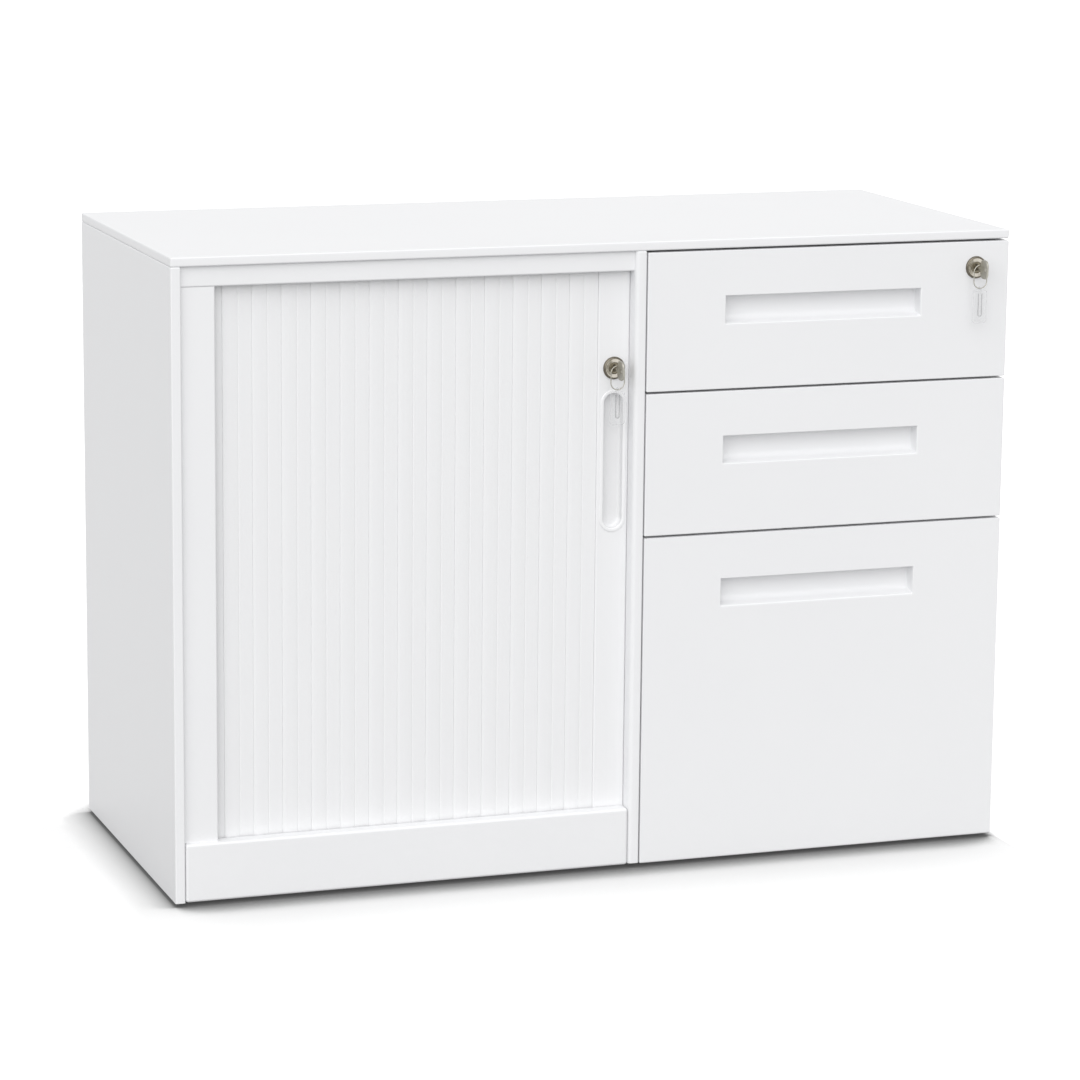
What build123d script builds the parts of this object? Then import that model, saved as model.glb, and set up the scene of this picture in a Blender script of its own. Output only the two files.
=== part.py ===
from build123d import *
import math
import os

# A low steel cabinet: a tambour cupboard on the left and three drawers on the right.
# Lengths are in millimetres. X runs to the right, Y to the back and Z up from the floor.

# Overall sizes, and what all sheet pieces share
width = 1000.0
depth = 430.0
panel_height = 725.0
foot_height = 5.0
sheet = 1.0
hem = 14.0
slip = 0.4
overrun = 5.0

# Carcass panels
top_thickness = 10.5
side_thickness = 11.5
divider_offset = 537.9
divider_thickness = 13.1
back_flange = 12.0
base_flange = 20.0
cupboard_floor_flange = 12.0

# Front frame round the tambour
header_height = 23.1
header_setback = 2.0
plinth_height = 67.0
plinth_radius = 3.0
plinth_end_gap = 0.6
stile_width = 39.8
stile_setback = 3.0
frame_return = 15.0

# Tambour curtain, its lead slat and its tracks
curtain_setback = 18.0
slat_pitch = 16.8
slats_per_strip = 2
slat_thickness = 1.6
slat_gap = 0.3
slat_lap = 1.0
slat_tongue = 2.0
slat_joint_gap = 0.2
lead_width = 37.4
lead_depth = 12.0
lead_wall = 1.5
lead_end_gap = 0.5
lead_fittings_offset = 0.6
track_wall = 1.5
track_lip = 9.0
track_play = 0.5
track_clearance = 1.5
liner_gap = 4.0

# Finger pull let into the lead slat
finger_pull_across = 31.0
finger_pull_along = 164.0
finger_pull_rim = 4.0
finger_pull_proud = 1.0
finger_pull_depth = 10.0
finger_pull_wall = 1.5
finger_pull_drop = 252.0
seat_clearance = 0.1
cheek_margin = 4.0

# Shelf, clips, feet and screws
shelf_height = 320.0
shelf_thickness = 18.0
shelf_setback = 12.0
shelf_end_gap = 1.0
clip_reach = 12.0
clip_leg = 16.0
clip_width = 24.0
clip_sheet = 2.0
clip_inset = 60.0
foot_radius = 18.0
foot_inset = 50.0
stud_radius = 4.0
stud_tail = 2.0
nut_radius = 8.0
nut_height = 7.0
screw_radius = 2.0
screw_bite = 4.0
screw_head_radius = 4.0
screw_head_height = 2.4
screw_height_shares = (0.1, 0.37, 0.63, 0.9)

# Drawers
top_drawer_height = 159.0
centre_drawer_height = 164.0
drawer_gap = 2.5
drawer_side_gap = 1.5
front_thickness = 20.0
front_gap = 1.0
front_hem = 30.0
box_sheet = 1.0
box_lift = 25.0
box_drop = 29.0
file_box_drop = 104.0
box_front_height = 55.0
rail_thickness = 2.5
rail_depth = 24.0
rail_rise = 9.0

# Pull pocket pressed into each drawer front
pull_width = 242.0
pull_height = 32.0
pull_depth = 17.0
pull_slope = 2.0
pull_drop = 52.0
pull_offset = -7.6

# Telescopic drawer runners
runner_back_gap = 26.0
runner_height = 45.0
runner_thickness = 12.7
runner_lip = 10.0
runner_sheet = 1.5
runner_gap = 0.5
runner_setback = 3.0
runner_centre = 35.0

# Locks, keys and key tags
lock_flange_radius = 13.0
lock_proud = 2.5
barrel_radius = 9.0
barrel_tail = 3.0
plug_radius = 6.5
plug_clearance = 0.06
plug_recess = 0.8
keyway_clearance = 0.2
cam_width = 10.0
cam_sheet = 2.0
cam_bite = 6.0
key_sheet = 2.2
blade_height = 8.0
blade_length = 15.0
neck_radius = 3.0
neck_length = 12.0
bow_height = 22.0
bow_length = 18.0
bow_radius = 7.0
bow_hole_radius = 2.5
bow_hole_inset = 5.0
ring_radius = 8.0
ring_stretch = 11.0
ring_wire_radius = 0.7
ring_clearance = 0.3
tag_width = 17.0
tag_height = 38.0
tag_thickness = 2.4
tag_radius = 3.0
tag_lug_width = 2.0
tag_lug_depth = 4.4
tag_lug_height = 8.0
tambour_lock_gap = 12.0
drawer_lock_drop = 30.0
drawer_lock_inset = 41.5

# Lock bar that blocks the drawers
bar_setback = 40.0
bar_width = 12.0
bar_thickness = 5.0
bar_tail = 10.0
bolt_travel = 12.0
lug_depth = 6.0
lug_height = 8.0
lug_clearance = 3.0
catch_gap = 1.0
catch_depth = 6.0
catch_lift = 2.0
catch_height = 12.0
window_clearance = 1.0
ledge_height = 6.0
guide_depth = 6.0
guide_height = 20.0
guide_height_shares = (0.25, 0.75)

# Places worked out from the sizes: the outer box and the bays
left_x = -width / 2
right_x = width / 2
key_reach = lock_proud - plug_recess + neck_length + bow_length
front_y = -(depth - key_reach) / 2
back_y = front_y + depth
back_inner_y = back_y - sheet
bottom_z = foot_height
top_z = bottom_z + panel_height
under_top_z = top_z - top_thickness
left_inner_x = left_x + side_thickness
right_inner_x = right_x - side_thickness
divider_x0 = left_x + divider_offset
divider_x1 = divider_x0 + divider_thickness
base_front_y = front_y + front_thickness + front_gap

# Places of the front frame, the curtain and its tracks
plinth_z = bottom_z + plinth_height
header_z = under_top_z - header_height
stile_x = left_inner_x + stile_width
return_y = front_y + frame_return
curtain_y = front_y + curtain_setback
lead_x1 = divider_x0 - lead_end_gap
lead_x0 = lead_x1 - lead_width
tambour_travel = lead_x0 - stile_x
strip_width = slats_per_strip * slat_pitch
strip_count = math.ceil(tambour_travel / strip_width)
strip_step = slat_thickness + slat_gap
stack_depth = strip_count * strip_step + slat_thickness
track_inner_depth = max(stack_depth, lead_depth) + track_clearance
track_back_y = curtain_y + track_inner_depth + track_wall
floor_z = plinth_z - sheet - track_lip
slat_z0 = floor_z + track_wall + track_play
slat_z1 = under_top_z - sheet - track_wall - track_play
liner_x0 = stile_x + liner_gap
liner_x1 = liner_x0 + sheet
shelf_z = floor_z + shelf_height
fittings_x = (lead_x0 + lead_x1) / 2 + lead_fittings_offset
finger_pull_z = top_z - finger_pull_drop

# Places of the drawers and runners
drawer_x0 = divider_x1 + drawer_side_gap
box_x0 = divider_x1 + runner_thickness
box_x1 = right_inner_x - runner_thickness
box_y0 = front_y + front_thickness
runner_y0 = base_front_y + runner_setback
runner_length = back_y - runner_back_gap - runner_y0
box_y1 = runner_y0 + runner_length
top_drawer_z1 = under_top_z - drawer_gap
top_drawer_z0 = top_drawer_z1 - top_drawer_height
centre_drawer_z1 = top_drawer_z0 - drawer_gap
centre_drawer_z0 = centre_drawer_z1 - centre_drawer_height
file_drawer_z1 = centre_drawer_z0 - drawer_gap
box_height = min(top_drawer_height, centre_drawer_height) - box_lift - box_drop
file_box_height = file_drawer_z1 - bottom_z - box_lift - file_box_drop
drawers = {
    "top_drawer": (top_drawer_z0, top_drawer_z1, box_height),
    "centre_drawer": (centre_drawer_z0, centre_drawer_z1, box_height),
    "file_drawer": (bottom_z, file_drawer_z1, file_box_height),
}

# Places of the locks and the lock bar
lock_x = right_x - drawer_lock_inset
lock_z = top_drawer_z1 - drawer_lock_drop
pull_end_z = finger_pull_z + finger_pull_along / 2
tambour_lock_z = pull_end_z + tambour_lock_gap + lock_flange_radius
tambour_barrel = lead_depth + barrel_tail
drawer_barrel = front_thickness + barrel_tail
tambour_cam_length = divider_x0 - fittings_x + cam_bite
drawer_cam_length = right_inner_x - lock_x + cam_bite
bar_x0 = right_inner_x + sheet + slip
bar_x1 = bar_x0 + bar_thickness
bar_y0 = front_y + bar_setback
bar_y1 = bar_y0 + bar_width
ledge_z0 = lock_z + cam_width / 2 + slip - bolt_travel
ledge_z1 = ledge_z0 + ledge_height


# Shapes that several pieces share


def block(low, high):
    """A box between two opposite corners."""
    middle = [(a + b) / 2 for a, b in zip(low, high)]
    spans = [b - a for a, b in zip(low, high)]
    return Pos(*middle) * Box(*spans)


def rod(x, z, y0, y1, radius):
    """A round bar along Y."""
    return Pos(x, (y0 + y1) / 2, z) * Rot(90, 0, 0) * Cylinder(radius, y1 - y0)


def cross_rod(x0, x1, y, z, radius):
    """A round bar along X."""
    return Pos((x0 + x1) / 2, y, z) * Rot(0, 90, 0) * Cylinder(radius, x1 - x0)


def stadium(x, z, y0, y1, across, along):
    """An upright slot shape, as thick as the span in Y."""
    face = Plane((x, y1, z), x_dir=(1, 0, 0), z_dir=(0, -1, 0))
    return extrude(face * SlotOverall(along, across, rotation=90), amount=y1 - y0)


def tube_panel(low, high):
    """A double-skin upright panel, open at its top and bottom."""
    panel = block(low, high)
    inner_low = (low[0] + sheet, low[1] + sheet, low[2] - overrun)
    inner_high = (high[0] - sheet, high[1] - sheet, high[2] + overrun)
    return panel - block(inner_low, inner_high)


def folded_panel(low, high, open_axis, open_high, lip):
    """A sheet panel with folded edges, open inside a lip on one of its two broad sides."""
    panel = block(low, high)
    panel -= block([v + sheet for v in low], [v - sheet for v in high])
    window_low = [v + lip for v in low]
    window_high = [v - lip for v in high]
    middle = (low[open_axis] + high[open_axis]) / 2
    window_low[open_axis] = middle if open_high else low[open_axis] - overrun
    window_high[open_axis] = high[open_axis] + overrun if open_high else middle
    return panel - block(window_low, window_high)


def drawer_levels(name):
    """Heights of a drawer's box, runner, lug and catch."""
    front_z0, front_z1, height = drawers[name]
    box_z0 = front_z0 + box_lift
    runner_z = box_z0 + runner_centre
    lug_z = runner_z + runner_height / 2 + lug_clearance
    catch_z = lug_z + lug_height + catch_lift
    return box_z0, box_z0 + height, runner_z, lug_z, catch_z


# Carcass


def make_top_panel():
    low = (left_x, front_y, under_top_z)
    high = (right_x, back_y, top_z)
    return folded_panel(low, high, open_axis=2, open_high=False, lip=hem)


def screw_places():
    """Heights of the back panel's screws, and the middle of its side flanges."""
    y = back_y - back_flange / 2
    return [(y, bottom_z + share * (under_top_z - bottom_z)) for share in screw_height_shares]


def screw_holes(x0, x1):
    """Bars that cut the clearance holes of the screws between two X places."""
    radius = screw_radius + seat_clearance
    return [cross_rod(x0, x1, y, z, radius) for y, z in screw_places()]


def make_left_side_panel():
    panel = tube_panel((left_x, front_y, bottom_z), (left_inner_x, back_y, under_top_z))
    return panel - screw_holes(left_inner_x - screw_bite - sheet, left_inner_x + overrun)


def make_right_side_panel():
    """The panel beside the drawers, which also holds the lock bar between its skins."""
    panel = tube_panel((right_inner_x, base_front_y, bottom_z), (right_x, back_y, under_top_z))
    skin_low = right_inner_x - overrun
    skin_high = right_inner_x + sheet + slip
    for name in drawers:
        lug_z = drawer_levels(name)[3]
        low = (skin_low, bar_y0 - window_clearance, lug_z - window_clearance)
        high_z = lug_z + lug_height + bolt_travel + window_clearance
        panel -= block(low, (skin_high, bar_y0 + lug_depth + window_clearance, high_z))
    cam_y = front_y + drawer_barrel + slip
    low = (skin_low, cam_y - window_clearance, lock_z - drawer_cam_length)
    high = (skin_high, cam_y + cam_sheet + window_clearance, lock_z + cam_width / 2 + window_clearance)
    panel -= block(low, high)
    for share in guide_height_shares:
        z = bottom_z + share * (under_top_z - bottom_z)
        for y in (bar_y0 - slip - guide_depth, bar_y1 + slip):
            panel += block((right_inner_x, y, z), (right_x, y + guide_depth, z + guide_height))
    return panel - screw_holes(right_inner_x - overrun, right_inner_x + screw_bite + sheet)


def make_divider_panel():
    """The upright between the bays, with a slot that takes the tambour's cam."""
    low = (divider_x0, front_y, bottom_z + sheet)
    panel = tube_panel(low, (divider_x1, back_inner_y, under_top_z))
    cam_y = curtain_y + tambour_barrel + slip
    slot_low = (divider_x0 - overrun, cam_y - window_clearance, tambour_lock_z - tambour_cam_length)
    slot_y1 = cam_y + cam_sheet + window_clearance
    slot_z1 = tambour_lock_z + cam_width / 2 + window_clearance
    return panel - block(slot_low, (divider_x0 + sheet + slip, slot_y1, slot_z1))


def make_back_panel():
    low = (left_inner_x, back_y - back_flange, bottom_z + sheet)
    high = (right_inner_x, back_y, under_top_z)
    panel = block(low, high)
    inner_low = (left_inner_x + sheet, low[1] - overrun, low[2] - overrun)
    panel -= block(inner_low, (right_inner_x - sheet, back_inner_y, high[2] + overrun))
    panel -= screw_holes(left_inner_x - overrun, left_inner_x + sheet + overrun)
    return panel - screw_holes(right_inner_x - sheet - overrun, right_inner_x + overrun)


def foot_places():
    xs = (left_x + foot_inset, right_x - foot_inset)
    ys = (front_y + foot_inset, back_y - foot_inset)
    return [(x, y) for x in xs for y in ys]


def make_base_panel():
    """The bottom sheet, turned up at both ends, with a weld nut over each foot."""
    flange_z = bottom_z + base_flange
    base = block((left_inner_x, base_front_y, bottom_z), (right_inner_x, back_y, bottom_z + sheet))
    for x0, x1 in ((left_inner_x, left_inner_x + sheet), (right_inner_x - sheet, right_inner_x)):
        base += block((x0, base_front_y, bottom_z), (x1, back_y - back_flange, flange_z))
    for x, y in foot_places():
        base += Pos(x, y, bottom_z + (sheet + nut_height) / 2) * Cylinder(nut_radius, sheet + nut_height)
        hole_height = sheet + nut_height + overrun
        base -= Pos(x, y, bottom_z + (sheet + nut_height) / 2) * Cylinder(
            stud_radius + seat_clearance, hole_height
        )
    return base


def make_levelling_feet():
    stud_height = sheet + nut_height + stud_tail
    feet = []
    for x, y in foot_places():
        pad = Pos(x, y, foot_height / 2) * Cylinder(foot_radius, foot_height)
        stud = Pos(x, y, foot_height + stud_height / 2) * Cylinder(stud_radius, stud_height)
        feet.append(pad + stud)
    return Compound(children=feet)


def make_carcass_screws():
    screws = []
    for inward, wall_x in ((1, left_inner_x), (-1, right_inner_x)):
        seat_x = wall_x + inward * sheet
        tip_x = wall_x - inward * screw_bite
        head_x = seat_x + inward * screw_head_height
        for y, z in screw_places():
            shank = cross_rod(min(tip_x, seat_x), max(tip_x, seat_x), y, z, screw_radius)
            head = cross_rod(min(seat_x, head_x), max(seat_x, head_x), y, z, screw_head_radius)
            screws.append(shank + head)
    return Compound(children=screws)


# Front frame, tracks and cupboard


def make_header_rail():
    face_y = front_y + header_setback
    rail = block((left_inner_x, face_y, header_z), (divider_x0, face_y + sheet, under_top_z))
    top_low = (left_inner_x, face_y, under_top_z - sheet)
    rail += block(top_low, (divider_x0, track_back_y, under_top_z))
    return rail + block((left_inner_x, face_y, header_z), (divider_x0, return_y, header_z + sheet))


def make_left_stile():
    low = (left_inner_x, front_y + stile_setback, plinth_z)
    high = (stile_x, return_y, header_z)
    stile = block(low, high)
    inner_low = (low[0] + sheet, low[1] + sheet, low[2] - overrun)
    return stile - block(inner_low, (high[0] - sheet, high[1] + overrun, high[2] + overrun))


def make_plinth_rail():
    """The bottom rail, with a rounded top edge that lands on the track's front wall."""
    x0 = left_inner_x + plinth_end_gap
    x1 = divider_x0 - plinth_end_gap
    back = return_y + track_wall
    rail = block((x0, front_y, bottom_z), (x1, back, plinth_z))
    hollow_low = (x0 - overrun, front_y + sheet, bottom_z + sheet)
    rail -= block(hollow_low, (x1 + overrun, back + overrun, plinth_z - sheet))
    rail -= block((x0 - overrun, return_y, bottom_z - overrun), (x1 + overrun, back + overrun, floor_z))
    outer = rail.edges().filter_by(Axis.X).sort_by_distance((0, front_y, plinth_z))[0]
    rail = fillet(outer, plinth_radius)
    inner_corner = (0, front_y + sheet, plinth_z - sheet)
    inner = rail.edges().filter_by(Axis.X).sort_by_distance(inner_corner)[0]
    return fillet(inner, plinth_radius - sheet)


def make_track(base_z, lip_z):
    """A track for the curtain's ends: a base with a front and a rear wall."""
    base_low = min(base_z, base_z + math.copysign(track_wall, lip_z - base_z))
    track = block(
        (left_inner_x, return_y, base_low), (divider_x0, track_back_y, base_low + track_wall)
    )
    for y in (return_y, track_back_y - track_wall):
        low_z, high_z = sorted((base_z, lip_z))
        track += block((left_inner_x, y, low_z), (divider_x0, y + track_wall, high_z))
    return track


def make_cupboard_floor():
    y1 = back_y - back_flange
    flange_z = floor_z - cupboard_floor_flange
    panel = block((left_inner_x, return_y, floor_z - sheet), (divider_x0, y1, floor_z))
    for x0, x1 in ((left_inner_x, left_inner_x + sheet), (divider_x0 - sheet, divider_x0)):
        panel += block((x0, return_y, flange_z), (x1, y1, floor_z))
    return panel + block((left_inner_x, return_y, flange_z), (divider_x0, return_y + sheet, floor_z))


def make_curtain_liner():
    return block((liner_x0, track_back_y, floor_z), (liner_x1, back_inner_y, under_top_z))


def make_shelf():
    low = (liner_x1 + shelf_end_gap, track_back_y + shelf_setback, shelf_z)
    high = (divider_x0 - shelf_end_gap, back_inner_y - shelf_end_gap, shelf_z + shelf_thickness)
    return folded_panel(low, high, open_axis=2, open_high=False, lip=hem)


def make_shelf_clips():
    clips = []
    for inward, wall_x in ((1, liner_x1), (-1, divider_x0)):
        for y in (track_back_y + shelf_setback + clip_inset, back_inner_y - clip_inset):
            y0, y1 = y - clip_width / 2, y + clip_width / 2
            ledge_xs = sorted((wall_x, wall_x + inward * clip_reach))
            leg_xs = sorted((wall_x, wall_x + inward * clip_sheet))
            ledge = block((ledge_xs[0], y0, shelf_z - clip_sheet), (ledge_xs[1], y1, shelf_z))
            leg = block((leg_xs[0], y0, shelf_z - clip_leg), (leg_xs[1], y1, shelf_z))
            clips.append(ledge + leg)
    return Compound(children=clips)


# Tambour curtain


def make_slat_pair(index):
    """Two slats joined by a half lap. They slant back to the right, so pairs slide past each other."""
    x1 = lead_x0 - index * strip_width
    x0 = x1 - strip_width
    middle = x0 + slat_pitch
    half = slat_thickness / 2
    gap = slat_joint_gap / 2
    tongue_x = middle + slat_tongue

    def prism(outline):
        points = [(x, curtain_y + strip_step * (x - x0) / strip_width + d) for x, d in outline]
        face = make_face(Polyline(*points, close=True))
        return Pos(0, 0, slat_z0) * extrude(face, amount=slat_z1 - slat_z0)

    left = prism([
        (x0 - slat_lap, 0),
        (middle - gap, 0),
        (middle - gap, half + gap),
        (tongue_x - gap, half + gap),
        (tongue_x - gap, slat_thickness),
        (x0 - slat_lap, slat_thickness),
    ])
    right = prism([
        (middle + gap, 0),
        (x1, 0),
        (x1, slat_thickness),
        (tongue_x + gap, slat_thickness),
        (tongue_x + gap, half - gap),
        (middle + gap, half - gap),
    ])
    return Compound(children=[left, right])


def finger_pull_seat(across_extra):
    """Outer size of the finger pull's cup, widened all round."""
    trim = 2 * (finger_pull_rim - finger_pull_wall - across_extra)
    return finger_pull_across - trim, finger_pull_along - trim


def make_lead_slat():
    """The broad slat at the curtain's free edge: two lengths of channel and two cheeks by the finger pull."""
    slat = block((lead_x0, curtain_y, slat_z0), (lead_x1, curtain_y + lead_depth, slat_z1))
    inner_low = (lead_x0 + lead_wall, curtain_y + lead_wall, slat_z0 - overrun)
    slat -= block(inner_low, (lead_x1 - lead_wall, curtain_y + lead_depth + overrun, slat_z1 + overrun))
    y0, y1 = curtain_y - overrun, curtain_y + lead_wall + overrun
    slat -= rod(fittings_x, tambour_lock_z, y0, y1, barrel_radius + seat_clearance)
    across, along = finger_pull_seat(seat_clearance)
    slat -= stadium(fittings_x, finger_pull_z, y0, y1, across, along)
    cheek = (along - across) / 2 + cheek_margin
    levels = (slat_z0, finger_pull_z - cheek, finger_pull_z + cheek, slat_z1)
    lengths = []
    for z0, z1 in zip(levels, levels[1:]):
        low = (lead_x0 - overrun, y0, z0)
        band = slat & block(low, (lead_x1 + overrun, curtain_y + lead_depth + overrun, z1))
        lengths += band.solids()
    return Compound(children=lengths)


def make_finger_pull():
    z = finger_pull_z
    rim_y = curtain_y - finger_pull_proud
    across, along = finger_pull_seat(0)
    cup = stadium(fittings_x, z, rim_y, curtain_y, finger_pull_across, finger_pull_along)
    cup += stadium(fittings_x, z, curtain_y, curtain_y + finger_pull_depth, across, along)
    mouth = (finger_pull_across - 2 * finger_pull_rim, finger_pull_along - 2 * finger_pull_rim)
    bottom_y = curtain_y + finger_pull_depth - finger_pull_wall
    return cup - stadium(fittings_x, z, rim_y - overrun, bottom_y, *mouth)


# Locks and keys


def make_ring(x, y, arch_z):
    """An oblong loop of round wire: a half ring above, a half ring below and two straight lengths."""
    foot_z = arch_z - ring_stretch
    reach = ring_radius + overrun
    whole = Rot(90, 0, 0) * Torus(ring_radius, ring_wire_radius)
    above = block((x - reach, y - overrun, arch_z), (x + reach, y + overrun, arch_z + reach))
    below = block((x - reach, y - overrun, foot_z - reach), (x + reach, y + overrun, foot_z))
    ring = (Pos(x, y, arch_z) * whole & above) + (Pos(x, y, foot_z) * whole & below)
    for side_x in (x - ring_radius, x + ring_radius):
        ring += Pos(side_x, y, (arch_z + foot_z) / 2) * Cylinder(ring_wire_radius, ring_stretch)
    return ring


def make_lock(x, z, face_y, barrel_length, cam_length):
    """One cam lock with its key, key ring and tag. The cam hangs down while it is unlocked."""
    flange_y = face_y - lock_proud
    barrel_y = face_y + barrel_length
    housing = rod(x, z, flange_y, face_y, lock_flange_radius) + rod(x, z, face_y, barrel_y, barrel_radius)
    housing -= rod(x, z, flange_y - overrun, barrel_y + overrun, plug_radius + plug_clearance)

    plug_y = flange_y + plug_recess
    cam_y = barrel_y + slip
    half_key = key_sheet / 2
    half_way = half_key + keyway_clearance
    way_z = blade_height / 2 + keyway_clearance
    plug = rod(x, z, plug_y, cam_y, plug_radius)
    way_y = plug_y + blade_length + keyway_clearance
    plug -= block((x - half_way, plug_y - overrun, z - way_z), (x + half_way, way_y, z + way_z))

    half_cam = cam_width / 2
    tip_z = z - cam_length + half_cam
    cam = block((x - half_cam, cam_y, tip_z), (x + half_cam, cam_y + cam_sheet, z))
    cam += rod(x, z, cam_y, cam_y + cam_sheet, half_cam) + rod(x, tip_z, cam_y, cam_y + cam_sheet, half_cam)

    neck_y = plug_y - neck_length
    bow_y = neck_y - bow_length
    bow = block((x - half_key, bow_y, z - bow_height / 2), (x + half_key, neck_y, z + bow_height / 2))
    bow = fillet(bow.edges().filter_by(Axis.X), bow_radius)
    bow -= cross_rod(x - key_sheet, x + key_sheet, bow_y + bow_hole_inset, z, bow_hole_radius)
    blade_z = blade_height / 2
    blade = block((x - half_key, plug_y, z - blade_z), (x + half_key, plug_y + blade_length, z + blade_z))
    key = bow + rod(x, z, neck_y, plug_y, neck_radius) + blade

    ring_y = neck_y + ring_wire_radius + ring_clearance
    arch_z = z + neck_radius + ring_clearance + ring_wire_radius - ring_radius
    ring = make_ring(x, ring_y, arch_z)

    pivot_z = arch_z - ring_stretch - ring_radius
    half_lug = tag_lug_width / 2
    half_depth = tag_lug_depth / 2
    lug_z = pivot_z + half_depth
    lug_low = (x - half_lug, ring_y - half_depth, lug_z - tag_lug_height)
    lug = block(lug_low, (x + half_lug, ring_y + half_depth, lug_z))
    hole_radius = ring_wire_radius + ring_clearance
    lug -= cross_rod(x - tag_lug_width, x + tag_lug_width, ring_y, pivot_z, hole_radius)
    plate_z = pivot_z - half_depth
    half_tag = tag_thickness / 2
    plate_low = (x - tag_width / 2, ring_y - half_tag, plate_z - tag_height)
    plate = block(plate_low, (x + tag_width / 2, ring_y + half_tag, plate_z))
    plate = fillet(plate.edges().filter_by(Axis.Y), tag_radius)
    return {
        "lock_housing": housing,
        "lock_plug": plug,
        "lock_cam": cam,
        "key": key,
        "key_ring": ring,
        "key_tag": plate + lug,
    }


def make_lock_bar():
    """The upright bar with a lug for each drawer and a ledge that the drawer lock's cam lifts."""
    lowest = min(drawer_levels(name)[3] for name in drawers)
    welded = [block((bar_x0, bar_y0, lowest - bar_tail), (bar_x1, bar_y1, ledge_z1))]
    for name in drawers:
        lug_z = drawer_levels(name)[3]
        low = (box_x1 + lug_clearance, bar_y0, lug_z)
        welded.append(block(low, (bar_x0, bar_y0 + lug_depth, lug_z + lug_height)))
    ledge_y = base_front_y + sheet + slip
    welded.append(block((bar_x0, ledge_y, ledge_z0), (bar_x1, bar_y0, ledge_z1)))
    return Compound(children=welded)


# Drawers


def make_drawer_front(name):
    """A folded front with its pull pocket. The top drawer's front also holds the lock."""
    z0, z1, height = drawers[name]
    low = (drawer_x0, front_y, z0)
    high = (right_x, front_y + front_thickness, z1)
    front = folded_panel(low, high, open_axis=1, open_high=True, lip=front_hem)
    middle_x = (drawer_x0 + right_x) / 2 + pull_offset
    x0, x1 = middle_x - pull_width / 2, middle_x + pull_width / 2
    pocket_z1 = z1 - pull_drop
    pocket_z0 = pocket_z1 - pull_height
    pocket_y = front_y + pull_depth
    front += block(
        (x0 - sheet, front_y, pocket_z0 - sheet), (x1 + sheet, pocket_y + sheet, pocket_z1 + sheet)
    )
    hollow = [
        (front_y - overrun, pocket_z1),
        (pocket_y, pocket_z1),
        (pocket_y, pocket_z0 + pull_slope),
        (front_y, pocket_z0),
        (front_y - overrun, pocket_z0),
    ]
    face = Plane.YZ.offset(x0) * make_face(Polyline(*hollow, close=True))
    front -= extrude(face, amount=x1 - x0)
    if name == "top_drawer":
        y0, y1 = front_y - overrun, front_y + front_thickness + overrun
        front -= rod(lock_x, lock_z, y0, y1, barrel_radius + seat_clearance)
    return front


def make_drawer_box(name):
    """An open box with a low front wall, and a lock catch welded on its right wall."""
    z0, z1, runner_z, lug_z, catch_z = drawer_levels(name)
    box = block((box_x0, box_y0, z0), (box_x1, box_y1, z1))
    inner_x0, inner_x1 = box_x0 + box_sheet, box_x1 - box_sheet
    inner_y0 = box_y0 + box_sheet
    box -= block((inner_x0, inner_y0, z0 + box_sheet), (inner_x1, box_y1 - box_sheet, z1 + overrun))
    front_top = z0 + box_front_height
    box -= block((inner_x0, box_y0 - overrun, front_top), (inner_x1, inner_y0 + overrun, z1 + overrun))
    if name == "top_drawer":
        notch_y = front_y + drawer_barrel + slip + cam_sheet + window_clearance
        notch_z = lock_z - drawer_cam_length - window_clearance
        notch_low = (inner_x1 - overrun, box_y0 - overrun, notch_z)
        box -= block(notch_low, (box_x1 + overrun, notch_y, z1 + overrun))
    catch_y = bar_y0 + lug_depth + catch_gap
    catch_low = (box_x1, catch_y, catch_z)
    catch_high = (right_inner_x - lug_clearance, catch_y + catch_depth, catch_z + catch_height)
    return Compound(children=[box, block(catch_low, catch_high)])


def make_hanging_rails():
    """Two upright strips inside the file drawer's side walls, on which folders hang."""
    z1 = drawer_levels("file_drawer")[1]
    y0, y1 = box_y0 + box_sheet, box_y1 - box_sheet
    inner_x0, inner_x1 = box_x0 + box_sheet, box_x1 - box_sheet
    rails = []
    for x0, x1 in ((inner_x0, inner_x0 + rail_thickness), (inner_x1 - rail_thickness, inner_x1)):
        rails.append(block((x0, y0, z1 + rail_rise - rail_depth), (x1, y1, z1 + rail_rise)))
    return Compound(children=rails)


def runner_member(wall_x, inward, z, nest, faces_wall):
    """One channel of a runner, nested so many steps inside the member on the wall."""
    inset = nest * (runner_sheet + runner_gap)
    far = runner_thickness if faces_wall else runner_lip
    half = runner_height / 2 - inset
    xs = sorted((wall_x + inward * inset, wall_x + inward * far))
    y1 = runner_y0 + runner_length
    member = block((xs[0], runner_y0, z - half), (xs[1], y1, z + half))
    hollow_near = inset - overrun if faces_wall else inset + runner_sheet
    hollow_far = far - runner_sheet if faces_wall else far + overrun
    hollow_xs = sorted((wall_x + inward * hollow_near, wall_x + inward * hollow_far))
    hollow_low = (hollow_xs[0], runner_y0 - overrun, z - half + runner_sheet)
    return member - block(hollow_low, (hollow_xs[1], y1 + overrun, z + half - runner_sheet))


def runner_pair(name, nest, faces_wall):
    runner_z = drawer_levels(name)[2]
    walls = ((divider_x1, 1), (right_inner_x, -1))
    return [runner_member(x, inward, runner_z, nest, faces_wall) for x, inward in walls]


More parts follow.
